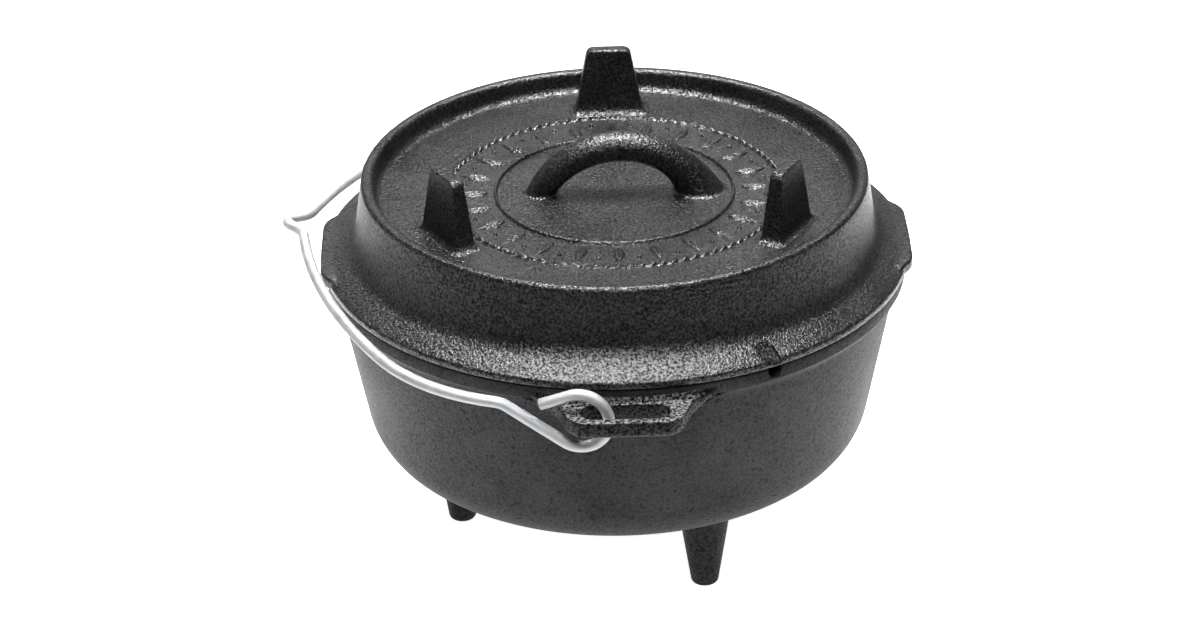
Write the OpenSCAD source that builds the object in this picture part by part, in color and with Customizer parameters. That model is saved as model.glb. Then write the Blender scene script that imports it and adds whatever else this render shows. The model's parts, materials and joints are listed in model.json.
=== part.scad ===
// Camp dutch oven: a cast pot on three legs, a flanged lid that takes coals and turns over into a
// pan on its own three legs, and a bent wire bail hooked through an ear on each side of the pot.
// Millimetres. +Z is up, +Y is away from the front ear, and the origin is on the ground under the pot.

/* [Pot] */
// Outside diameter of the collar round the pot's mouth
pot_d = 218; // [180:1:300]
// Height of the pot from its underside to its rim
pot_h = 77.4; // [60:0.1:120]
// Thickness of the pot's wall
wall_t = 4.8; // [3.5:0.1:6]
// Thickness of the pot's floor
floor_t = 5; // [4:0.1:7]
// Lean of the wall from upright, in degrees
wall_lean = 11.2; // [4:0.1:14]
// Outside radius where the wall turns into the floor
corner_r = 22; // [14:0.5:28]
// How far the collar stands out from the line of the wall
collar_out = 1.7; // [1:0.1:3]
// Height of the collar's upright face
collar_h = 5.5; // [4:0.1:8]
// Height of the slope under the collar
collar_slope_h = 3; // [2:0.1:5]
// Hollow rounding where the collar's slope leaves the wall
collar_cove_r = 4; // [1:0.1:8]
// Rounding of the collar's edges
collar_edge_r = 1; // [0.5:0.1:2]
// Width of the thermometer notch across the pot's rim
notch_w = 6; // [4:0.5:9]
// Depth of the thermometer notch
notch_d = 4.5; // [3:0.1:6]
// Bearing of the thermometer notch, in degrees
notch_at = -60; // [-65:1:-45]

/* [Pot legs] */
// Height of the pot's underside above the ground
leg_h = 36.6; // [25:0.1:60]
// Diameter of the circle that the pot's legs stand on
leg_circle_d = 122; // [90:1:140]
// Diameter of a leg at its tip
leg_tip_d = 10; // [8:0.1:14]
// Taper of a leg's side from upright, in degrees
leg_taper = 8.8; // [4:0.1:11]
// Rounding round a leg's tip
leg_tip_r = 1.8; // [0.5:0.1:3]

/* [Ears] */
// Thickness of an ear
ear_t = 6.6; // [5:0.1:9]
// Depth of an ear's top below the rim
ear_drop = 4.3; // [3:0.1:8]
// How far an ear reaches past the collar
ear_reach = 16.6; // [14:0.1:24]
// Width of an ear at its outer edge
ear_tip_w = 38.4; // [34:0.1:50]
// Width of an ear where it leaves the collar
ear_neck_w = 50; // [46:0.1:64]
// Rounding of an ear's outer corners
ear_tip_r = 9; // [3:0.1:12]
// Hollow rounding where an ear flares into the pot
ear_root_r = 8; // [4:0.1:12]
// Length of the slot in an ear
slot_l = 31; // [26:0.1:34]
// Width of the slot in an ear
slot_w = 10; // [8.5:0.1:11]
// Width of the bar outside the slot
slot_bar = 3.6; // [3:0.1:6]
// Rounding of the slot's corners
slot_r = 3.8; // [2:0.1:4]

/* [Lid] */
// How far the lid's flange stands out past the collar
flange_over = 1; // [0.5:0.1:3]
// Thickness of the flange at its edge
flange_edge_t = 2.6; // [2:0.1:4]
// Slope of the flange's top, in degrees
flange_slope = 26; // [15:1:30]
// Height of the lid's rim above the flange's underside
lid_h = 32.7; // [28:0.1:45]
// Depth of the coal tray inside the rim
tray_d = 7.8; // [5:0.1:12]
// Thickness of the lid's plate
plate_t = 4.7; // [3.5:0.1:6]
// Thickness of the lid's side wall
lid_wall_t = 4.8; // [3.5:0.1:6]
// Lean of the lid's side wall from upright, in degrees
lid_lean = 8; // [3:0.1:12]
// Width of the flange's top from its edge to the lid's side wall
flange_w = 12; // [9:0.1:15]
// Hollow rounding where the side wall meets the flange
cove_r = 7; // [4:0.1:9]
// Width of the rim's top
rim_w = 4.2; // [3:0.1:6]
// Rounding of the rim's edges
rim_r = 1.7; // [0.5:0.1:2]
// Hollow rounding at the foot of the tray's wall
tray_r = 3; // [1:0.1:4]
// Hollow rounding under the plate
ceiling_r = 6; // [3:0.1:10]
// Rounding of the lip's and the flange's edges
lid_edge_r = 1.2; // [0.5:0.1:1.2]
// Depth of the lip that keeps the lid in the pot's mouth
lip_h = 4; // [2:0.1:6]
// Width of that lip
lip_w = 4.4; // [3:0.1:6]
// Gap between the lip and the pot's mouth
lip_gap = 1; // [0.5:0.1:2]
// Gap left between the lid's flange and the pot's rim
seat_gap = 0.3; // [0.3:0.05:0.6]
// Width of the groove across the flange over the thermometer notch
groove_w = 3; // [2:0.1:4]

/* [Lid tabs] */
// How far a tab's straight edge stands out past the flange
tab_out = 0.8; // [0.5:0.1:1.2]
// Width of a tab at its edge
tab_w = 30; // [24:0.5:36]
// Extra width on each side where a tab runs into the flange
tab_flare = 15; // [8:0.5:20]
// How far inside the flange's edge a tab is rooted
tab_root = 8; // [6:0.1:10]
// Thickness of a tab
tab_t = 4.2; // [3.5:0.1:6]
// Rounding of a tab's corners
tab_r = 8; // [4:0.1:9]

/* [Lid legs] */
// Height of a lid leg above the plate
lid_leg_h = 26; // [20:0.5:36]
// Diameter of the circle that the lid's legs stand on
lid_leg_circle_d = 143; // [100:1:150]
// Width of a lid leg at its foot
lid_leg_w = 28; // [20:0.5:34]
// Width of a lid leg at its top
lid_leg_top_w = 20; // [12:0.5:24]
// Thickness of a lid leg at its foot
lid_leg_t = 8.6; // [6:0.1:10]
// Thickness of a lid leg at its top
lid_leg_top_t = 5.4; // [4:0.1:7]
// Rounding of a lid leg's top corners
lid_leg_r = 1.8; // [0.5:0.1:2]

/* [Lid handle] */
// Diameter of the handle's bar
handle_d = 12.4; // [9:0.1:15]
// Distance between the middles of the handle's feet
handle_l = 60; // [46:0.5:76]
// Height of the handle's top above the plate
handle_h = 24.2; // [20:0.1:26]
// How far the handle stands to the right of the lid's middle
handle_shift = 2.2; // [0:0.1:4]

/* [Bail] */
// Diameter of the bail's wire
wire_d = 4.2; // [3:0.1:4.6]
// Radius of the hook to the middle of its wire
hook_r = 10.5; // [10:0.1:11]
// How far the hook's axis lies inside an ear's arm from the slot's end
hook_in = 0.7; // [0.5:0.1:1.5]
// How far the hook lies inside the middle of the slot
hook_shift = 1; // [0.8:0.1:1.2]
// How far the hook's axis lies below the middle of the ears
hook_low = 0.6; // [0:0.1:1]
// Turn of the bend that leads out of the hook, in degrees
hook_turn = 28; // [26:1:36]
// Radius of the bend that leads out of the hook
hook_bend_r = 10; // [8:0.5:12]
// Turn of the hook past its top, in degrees
hook_end_turn = 26; // [16:1:32]
// Length of the hook's straight free end
hook_end_l = 11.4; // [8:0.1:13]
// Clearance of the wire over the ear that it crosses
bail_gap = 0.5; // [0.3:0.1:1]
// Depth of the wire's underside below the top of the lid's tab that it passes
side_low = 0.8; // [0.5:0.1:1.5]
// Clearance between the crown and the tab's edge beside the kink
crown_gap = 4.6; // [4.2:0.1:5]
// Straight run of wire between the hook and the shoulder
lead_l = 0.6; // [0.4:0.1:3]
// Turn of each shoulder, in degrees
shoulder_turn = 50; // [46:0.5:54]
// Pitch of the crown towards the kink, in degrees
crown_pitch = 12.7; // [11:0.1:14]
// Half the width of the hanging kink at the middle of the bail
kink_half_w = 10.5; // [10.3:0.1:12]
// Slope of the kink's sides, in degrees
kink_slope = 58; // [45:1:60]
// Radius of the kink's tip
kink_tip_r = 4.2; // [3:0.1:5]
// Radius of the bends beside the kink
kink_bend_r = 9.3; // [6:0.1:10]

/* [Hidden] */
$fn = 180;
iron = [0.16, 0.16, 0.17];
galvanised = [0.78, 0.79, 0.80];
// Length by which a cut runs past what it cuts
past = 1;
// Hair by which every other length of the bail is thinner, so that no two lengths share a surface
wire_hair = 0.04;
// How far those thinner lengths run on inside their neighbours
wire_lap = 0.2;

// Heights
floor_z = leg_h;
rim_z = leg_h + pot_h;
ear_top_z = rim_z - ear_drop;
ear_mid_z = ear_top_z - ear_t / 2;
lid_z = rim_z + seat_gap;
plate_z = lid_z + lid_h - tray_d;

// Pot radii
collar_r = pot_d / 2;
wall_top_r = collar_r - collar_out;
wall_foot_r = wall_top_r - pot_h * tan(wall_lean);
wall_across = wall_t / cos(wall_lean);
mouth_r = wall_top_r - wall_across;
function wall_r(z) = wall_foot_r + (z - floor_z) * tan(wall_lean);

// Lid radii
flange_r = collar_r + flange_over;
lip_r = mouth_r - lip_gap;
side_foot_r = flange_r - flange_w;
side_foot_h = flange_edge_t + flange_w * tan(flange_slope);
function side_r(h) = side_foot_r - (h - side_foot_h) * tan(lid_lean);
side_across = lid_wall_t / cos(lid_lean);

// Ear slot and the bail's hinge line, which runs through opposite arms of the two ears
ear_r = collar_r + ear_reach;
slot_mid_y = ear_r - slot_bar - slot_w / 2;
hinge_x = slot_l / 2 + hook_in;
hinge_y = slot_mid_y - hook_shift;
hinge_half = norm([hinge_x, hinge_y]);
hinge_yaw = atan2(hinge_x, hinge_y);

// Bail in its own frame: X along the hinge line to the rear hook, Y out to the kink, Z up at rest. At rest it
// crosses the rear ear and passes close beside the left tab, which gives its slope.
hinge_z = ear_mid_z - hook_low;
tab_edge = flange_r + tab_out;
cross_y = (hinge_x + slot_l / 2) / cos(hinge_yaw);
tab_corner_y = tab_edge * cos(hinge_yaw) - tab_w / 2 * sin(hinge_yaw);
bail_tilt = atan((lid_z + tab_t - side_low - ear_top_z - bail_gap) / (tab_corner_y - cross_y));
bail_rise = (ear_top_z + wire_d / 2 + bail_gap - hinge_z) * cos(bail_tilt) - cross_y * sin(bail_tilt);
hook_rise = bail_rise + hook_r * cos(hook_turn) - hook_bend_r * (1 - cos(hook_turn));
hook_run = hook_rise / sin(hook_turn);
lead_y = (hook_r + hook_bend_r) * sin(hook_turn) + hook_run * cos(hook_turn) + lead_l;
crown_out = tab_edge / cos(hinge_yaw) - kink_half_w * tan(hinge_yaw) + wire_d / 2 + crown_gap;
crown_y = crown_out / cos(bail_tilt);
kink_leg = (kink_half_w - kink_tip_r * sin(kink_slope) - kink_bend_r * (sin(kink_slope) - sin(crown_pitch)))
         / cos(kink_slope);
kink_rise = kink_tip_r * (1 - cos(kink_slope)) + kink_leg * sin(kink_slope)
          + kink_bend_r * (cos(crown_pitch) - cos(kink_slope));

// The shoulder's and the crown's radii close the bail between its lead and its kink
span_x = hinge_half - kink_half_w;
span_y = crown_y - lead_y;
shoulder_x = 1 - cos(shoulder_turn);
shoulder_y = sin(shoulder_turn);
crown_x = cos(shoulder_turn) - sin(crown_pitch);
crown_dy = cos(crown_pitch) - sin(shoulder_turn);
closing = shoulder_x * crown_dy - shoulder_y * crown_x;
shoulder_r = (span_x * crown_dy - span_y * crown_x) / closing;
crown_r = (span_y * shoulder_x - span_x * shoulder_y) / closing;

function unit(v) = v / norm(v);
function turn_of(p, q, s) = cross(p - q, s - p);

// The piece between the corner p, with neighbours q and s, and the arc of radius r that rounds it
module corner(p, q, s, r) {
    a = unit(q - p);
    b = unit(s - p);
    half = acos(a * b) / 2;
    middle = p + unit(a + b) * r / sin(half);
    difference() {
        polygon([p + (p - middle) / 2, p + a * r / tan(half), middle, p + b * r / tan(half)]);
        translate(middle) circle(r);
    }
}

// An outline given anticlockwise as [x, y, rounding], with its corners and hollows rounded
module outline(points) {
    n = len(points);
    at = [for (p = points) [p[0], p[1]]];
    difference() {
        union() {
            polygon(at);
            for (i = [0 : n - 1])
                if (points[i][2] > 0 && turn_of(at[i], at[(i + n - 1) % n], at[(i + 1) % n]) < 0)
                    corner(at[i], at[(i + n - 1) % n], at[(i + 1) % n], points[i][2]);
        }
        for (i = [0 : n - 1])
            if (points[i][2] > 0 && turn_of(at[i], at[(i + n - 1) % n], at[(i + 1) % n]) > 0)
                corner(at[i], at[(i + n - 1) % n], at[(i + 1) % n], points[i][2]);
    }
}

// Outside of the pot as a solid, without its hollow
module bowl_outside() {
    slope_z = rim_z - collar_h - collar_slope_h;
    rotate_extrude()
        outline([[0, floor_z, 0], [wall_foot_r, floor_z, corner_r], [wall_r(slope_z), slope_z, collar_cove_r],
                 [collar_r, rim_z - collar_h, collar_edge_r], [collar_r, rim_z, collar_edge_r],
                 [0, rim_z, 0]]);
}

module pot_bowl() {
    inside_z = floor_z + floor_t;
    notch_run = collar_r + past - mouth_r + wall_t;
    color(iron) difference() {
        bowl_outside();
        rotate_extrude()
            outline([[0, inside_z, 0], [wall_r(inside_z) - wall_across, inside_z, corner_r - wall_t],
                     [wall_r(rim_z + past) - wall_across, rim_z + past, 0], [0, rim_z + past, 0]]);
        rotate([0, 0, notch_at]) translate([mouth_r - wall_t, 0, rim_z - notch_d + notch_w / 2]) {
            rotate([0, 90, 0]) cylinder(d = notch_w, h = notch_run);
            translate([0, -notch_w / 2, 0]) cube([notch_run, notch_w, notch_d]);
        }
    }
}

// One pot leg: a tapered round peg standing under the pot at the given bearing
module pot_leg(bearing) {
    top_r = leg_tip_d / 2 + leg_h * tan(leg_taper);
    color(iron) rotate([0, 0, bearing]) translate([leg_circle_d / 2, 0, 0]) rotate_extrude()
        outline([[0, 0, 0], [leg_tip_d / 2, 0, leg_tip_r], [top_r, leg_h, 0], [0, leg_h, 0]]);
}

module pot_leg_left() { pot_leg(180); }
module pot_leg_front() { pot_leg(-60); }
module pot_leg_back() { pot_leg(60); }

// One ear: a flat lug at the given bearing with a long slot for the bail's hook
module ear(bearing) {
    root_y = collar_r - wall_t * 2;
    tip = ear_tip_w / 2;
    neck = ear_neck_w / 2;
    root = neck + collar_r - root_y;
    color(iron) difference() {
        rotate([0, 0, bearing]) translate([0, 0, ear_top_z - ear_t]) linear_extrude(ear_t) difference() {
            outline([[root, root_y, 0], [neck, collar_r, ear_root_r], [tip, ear_r, ear_tip_r],
                     [-tip, ear_r, ear_tip_r], [-neck, collar_r, ear_root_r], [-root, root_y, 0]]);
            translate([0, slot_mid_y]) slot();
        }
        bowl_outside();
    }
}

// The slot's outline, centred
module slot() {
    x = slot_l / 2;
    y = slot_w / 2;
    outline([[x, -y, slot_r], [x, y, slot_r], [-x, y, slot_r], [-x, -y, slot_r]]);
}

module ear_front() { ear(180); }
module ear_rear() { ear(0); }

// The lid's pan: flange, leaning side wall, rim, coal tray, plate and the lip below
module lid_pan() {
    tray_foot = lid_h - tray_d;
    ceiling = tray_foot - plate_t;
    rim_out = side_r(lid_h);
    rim_in = rim_out - rim_w;
    hollow = lip_r - lip_w;
    color(iron) difference() {
        translate([0, 0, lid_z]) rotate_extrude()
            outline([[0, ceiling, 0], [side_r(ceiling) - side_across, ceiling, ceiling_r],
                     [hollow, -lip_h, lid_edge_r], [lip_r, -lip_h, lid_edge_r], [lip_r, 0, lid_edge_r / 2],
                     [flange_r, 0, lid_edge_r / 2], [flange_r, flange_edge_t, lid_edge_r],
                     [side_foot_r, side_foot_h, cove_r], [rim_out, lid_h, rim_r], [rim_in, lid_h, rim_r],
                     [rim_in, tray_foot, tray_r], [0, tray_foot, 0]]);
        rotate([0, 0, notch_at]) translate([side_foot_r + cove_r / 2, 0, lid_z + flange_edge_t + groove_w])
            rotate([0, 90 + flange_slope / 2, 0]) cylinder(d = groove_w, h = 2 * flange_w);
    }
}

// One tab: a thick lug on the flange's edge at the given bearing, cut to the flange that it grows from
module lid_tab(bearing) {
    root_x = flange_r - tab_root;
    half = tab_w / 2;
    color(iron) difference() {
        rotate([0, 0, bearing]) translate([0, 0, lid_z]) linear_extrude(tab_t)
            outline([[root_x, -half - tab_flare, 0], [tab_edge, -half, tab_r],
                     [tab_edge, half, tab_r], [root_x, half + tab_flare, 0]]);
        lid_pan();
    }
}

module lid_tab_left() { lid_tab(180); }
module lid_tab_right() { lid_tab(0); }

// One lid leg: a blade set across the radius at the given bearing, narrower and thinner at its top
module lid_leg(bearing) {
    foot = lid_leg_w / 2;
    top = lid_leg_top_w / 2;
    thick = lid_leg_t / 2;
    thin = lid_leg_top_t / 2;
    color(iron) rotate([0, 0, bearing]) translate([lid_leg_circle_d / 2, 0, plate_z]) intersection() {
        rotate([90, 0, 90]) linear_extrude(2 * lid_leg_t, center = true)
            outline([[-foot, 0, 0], [foot, 0, 0], [top, lid_leg_h, lid_leg_r], [-top, lid_leg_h, lid_leg_r]]);
        rotate([90, 0, 0]) linear_extrude(2 * lid_leg_w, center = true)
            outline([[-thick, 0, 0], [thick, 0, 0], [thin, lid_leg_h, lid_leg_r],
                     [-thin, lid_leg_h, lid_leg_r]]);
    }
}

module lid_leg_back() { lid_leg(90); }
module lid_leg_left() { lid_leg(210); }
module lid_leg_right() { lid_leg(330); }

// The lid's handle: a round bar bent to an arc that stands on the plate
module lid_handle() {
    rise = handle_h - handle_d / 2;
    arc_r = (handle_l * handle_l / 4 + rise * rise) / (2 * rise);
    reach = handle_l + 2 * handle_d;
    color(iron) translate([handle_shift, 0, plate_z]) intersection() {
        translate([0, 0, rise - arc_r]) rotate([90, 0, 0])
            rotate_extrude() translate([arc_r, 0]) circle(d = handle_d);
        translate([-reach / 2, -handle_d, 0]) cube([reach, 2 * handle_d, 2 * handle_h]);
    }
}

// Wire bent step by step from the origin along +X. A step is [length] for a straight run, or
// [radius, turn, roll] for a bend towards +Y after the wire is rolled about itself.
module bent_wire(steps, i = 0) {
    if (i < len(steps)) {
        step = steps[i];
        d = wire_d - wire_hair * (i % 2);
        lap = wire_lap * (i % 2);
        if (len(step) == 1) {
            translate([-lap, 0, 0]) rotate([0, 90, 0]) cylinder(d = d, h = step[0] + 2 * lap);
            translate([step[0], 0, 0]) bent_wire(steps, i + 1);
        } else {
            r = step[0];
            turn = step[1];
            lap_turn = lap / r * 180 / PI;
            rotate([step[2], 0, 0]) {
                translate([0, r, 0]) rotate([0, 0, -90 - lap_turn])
                    rotate_extrude(angle = turn + 2 * lap_turn) translate([r, 0]) circle(d = d);
                translate([r * sin(turn), r * (1 - cos(turn)), 0]) rotate([0, 0, turn])
                    bent_wire(steps, i + 1);
            }
        }
    }
}

// Half the bail, from the kink's tip to the free end of the hook on the given side
module half_bail(side) {
    translate([0, crown_y + kink_rise, bail_rise]) rotate([0, 90 - side * 90, 0])
        bent_wire([[kink_tip_r, kink_slope, 180], [kink_leg], [kink_bend_r, kink_slope - crown_pitch, 180],
                   [crown_r, 90 - shoulder_turn - crown_pitch, 180], [shoulder_r, shoulder_turn, 0], [lead_l],
                   [hook_bend_r, hook_turn, side * 90], [hook_run],
                   [hook_r, hook_turn + 180 + hook_end_turn, 180], [hook_end_l]]);
}

module bail() {
    color(galvanised) translate([0, 0, hinge_z]) rotate([0, 0, 90 - hinge_yaw]) rotate([bail_tilt, 0, 0]) {
        half_bail(1);
        half_bail(-1);
    }
}

pot_bowl();
pot_leg_left();
pot_leg_front();
pot_leg_back();
ear_front();
ear_rear();
lid_pan();
lid_handle();
lid_leg_back();
lid_leg_left();
lid_leg_right();
lid_tab_left();
lid_tab_right();
bail();
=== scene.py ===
import json
import math

import bpy
import numpy as np
from mathutils import Matrix, Vector


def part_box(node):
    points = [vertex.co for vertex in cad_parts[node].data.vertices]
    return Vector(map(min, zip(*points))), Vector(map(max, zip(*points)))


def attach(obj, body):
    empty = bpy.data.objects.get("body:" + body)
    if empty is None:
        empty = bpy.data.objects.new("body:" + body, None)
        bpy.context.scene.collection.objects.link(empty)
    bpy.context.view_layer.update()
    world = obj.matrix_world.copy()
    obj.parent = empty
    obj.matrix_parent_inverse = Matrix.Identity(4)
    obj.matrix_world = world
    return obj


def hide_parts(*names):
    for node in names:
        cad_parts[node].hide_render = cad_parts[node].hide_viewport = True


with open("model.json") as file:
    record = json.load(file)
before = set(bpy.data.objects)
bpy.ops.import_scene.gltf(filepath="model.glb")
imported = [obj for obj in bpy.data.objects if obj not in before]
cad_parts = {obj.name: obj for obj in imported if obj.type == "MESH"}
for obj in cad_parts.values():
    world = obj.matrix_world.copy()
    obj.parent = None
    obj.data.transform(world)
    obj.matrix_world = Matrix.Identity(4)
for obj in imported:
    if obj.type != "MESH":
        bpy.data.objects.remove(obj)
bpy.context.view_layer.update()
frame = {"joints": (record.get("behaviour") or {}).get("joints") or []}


# Camera
# The oven is seen from in front of one ear and from above, through a long lens 1.7 m away.
# The camera leans by a degree, and stands a degree to the left of the ear.
MM = 0.001
view_far = 1700 * MM
view_down = math.radians(27.82)
view_lean = math.radians(1.07)
view_turn = math.radians(-1.0)
aim = Vector((-6.33, 0, 86.68)) * MM
sensor_mm = 36
photo_w_px = 1200
focal_px = 4481

across = Vector((1, 0, 0))
ahead = Vector((0, math.cos(view_down), -math.sin(view_down)))
upward = across.cross(ahead)
camera_x = across * math.cos(view_lean) - upward * math.sin(view_lean)
camera_y = across * math.sin(view_lean) + upward * math.cos(view_lean)
stand = Matrix((camera_x, camera_y, -ahead)).transposed().to_4x4()
stand.translation = aim - ahead * view_far

camera = bpy.data.objects.new("camera", bpy.data.cameras.new("camera"))
camera.data.sensor_fit = "HORIZONTAL"
camera.data.sensor_width = sensor_mm
camera.data.lens = focal_px * sensor_mm / photo_w_px
camera.matrix_world = Matrix.Rotation(view_turn, 4, "Z") @ stand
bpy.context.scene.collection.objects.link(camera)
bpy.context.scene.camera = camera


# Studio
# A light table: matt white paper that is lit from below, under and behind the oven, and dim further out.
# Gridded soft boxes hang overhead and in front, with a panel behind and a strip at each side.
def linear(code):
    """Linear RGBA of an sRGB hex colour: c / 12.92 up to 0.04045, else ((c + 0.055) / 1.055) ^ 2.4."""
    srgb = np.array([int(code[i:i + 2], 16) for i in (1, 3, 5)]) / 255
    rgb = np.where(srgb <= 0.04045, srgb / 12.92, ((srgb + 0.055) / 1.055) ** 2.4)
    return (*rgb.tolist(), 1.0)


def add(tree, kind, inputs=None, **settings):
    """Adds a node with its settings. An input given as a socket is linked, and any other is set."""
    node = tree.nodes.new("ShaderNode" + kind)
    for name, value in settings.items():
        setattr(node, name, value)
    for name, value in (inputs or {}).items():
        if isinstance(value, bpy.types.NodeSocket):
            tree.links.new(value, node.inputs[name])
        else:
            node.inputs[name].default_value = value
    return node


def new_material(name):
    """A node material that is empty but for its output."""
    material = bpy.data.materials.new(name)
    material.use_nodes = True
    tree = material.node_tree
    tree.nodes.clear()
    return material, tree, add(tree, "OutputMaterial")


def finish_mesh(name, points, corners, counts, material):
    """A smooth mesh object from points in metres, the faces' corners in a row, and each face's count."""
    mesh = bpy.data.meshes.new(name)
    mesh.vertices.add(len(points))
    mesh.vertices.foreach_set("co", np.asarray(points, np.float32).ravel())
    mesh.loops.add(len(corners))
    mesh.loops.foreach_set("vertex_index", np.asarray(corners, np.int32))
    mesh.polygons.add(len(counts))
    mesh.polygons.foreach_set("loop_start", (np.cumsum(counts) - counts).astype(np.int32))
    mesh.update(calc_edges=True)
    mesh.shade_smooth()
    mesh.materials.append(material)
    piece = bpy.data.objects.new(name, mesh)
    bpy.context.scene.collection.objects.link(piece)
    return piece


# Matt paper has no gloss, so the oven leaves no mirror image in it, and its glow ends in a soft edge
glow_middle = (0, 0.22, 0)
glow_full_r = 0.3
glow_gone_r = 0.6
glow_strength = 0.95
paper, paper_tree, paper_out = new_material("matt_white_paper")
paper_at = add(paper_tree, "TexCoord").outputs["Object"]
paper_far = add(paper_tree, "VectorMath", {0: paper_at, 1: glow_middle}, operation="DISTANCE")
paper_glow = add(paper_tree, "MapRange", {"Value": paper_far.outputs["Value"],
                                          "From Min": glow_full_r, "From Max": glow_gone_r,
                                          "To Min": glow_strength, "To Max": 0.0},
                 interpolation_type="SMOOTHSTEP")
paper_shader = add(paper_tree, "BsdfPrincipled", {"Base Color": linear("#f2f2f1"), "Roughness": 0.9,
                                                  "Emission Color": linear("#ffffff"),
                                                  "Emission Strength": paper_glow.outputs["Result"]})
paper_tree.links.new(paper_shader.outputs["BSDF"], paper_out.inputs["Surface"])
floor_half = 4.0
floor_at = np.array([[-1, -1, 0], [1, -1, 0], [1, 1, 0], [-1, 1, 0]]) * floor_half
floor = finish_mesh("floor", floor_at, [0, 1, 2, 3], np.array([4]), paper)

room_strength = 0.14
world = bpy.data.worlds.new("dim_room")
world.use_nodes = True
world.node_tree.nodes["Background"].inputs["Color"].default_value = linear("#ffffff")
world.node_tree.nodes["Background"].inputs["Strength"].default_value = room_strength
bpy.context.scene.world = world
bpy.context.scene.view_settings.view_transform = "Standard"


def soft_box(name, at, towards, width, height, watts, spread=180):
    """A rectangular area light that stands at one point and faces another, unseen by the camera."""
    light = bpy.data.lights.new(name, "AREA")
    light.shape = "RECTANGLE"
    light.size = width
    light.size_y = height
    light.energy = watts
    light.spread = math.radians(spread)
    lamp = bpy.data.objects.new(name, light)
    turn = (Vector(towards) - Vector(at)).to_track_quat("-Z", "Y")
    lamp.matrix_world = Matrix.Translation(at) @ turn.to_matrix().to_4x4()
    lamp.visible_camera = False
    bpy.context.scene.collection.objects.link(lamp)


soft_box("soft_box_overhead", at=(0, 0.17, 0.95), towards=(0, 0.1, 0),
         width=0.45, height=0.4, watts=3.1, spread=45)
soft_box("soft_box_front", at=(0, -0.8, 1.2), towards=(0, -0.05, 0.1),
         width=0.5, height=0.5, watts=2.0, spread=60)
soft_box("panel_behind", at=(0, 2.2, 1.2), towards=(0, 0, 0.1), width=3.4, height=1.6, watts=14)
soft_box("strip_left", at=(-1.5, 0.1, 0.5), towards=(0, 0, 0.1), width=0.5, height=0.9, watts=1.5)
soft_box("strip_right", at=(1.5, 0.1, 0.5), towards=(0, 0, 0.1), width=0.5, height=0.9, watts=1.0)


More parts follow.
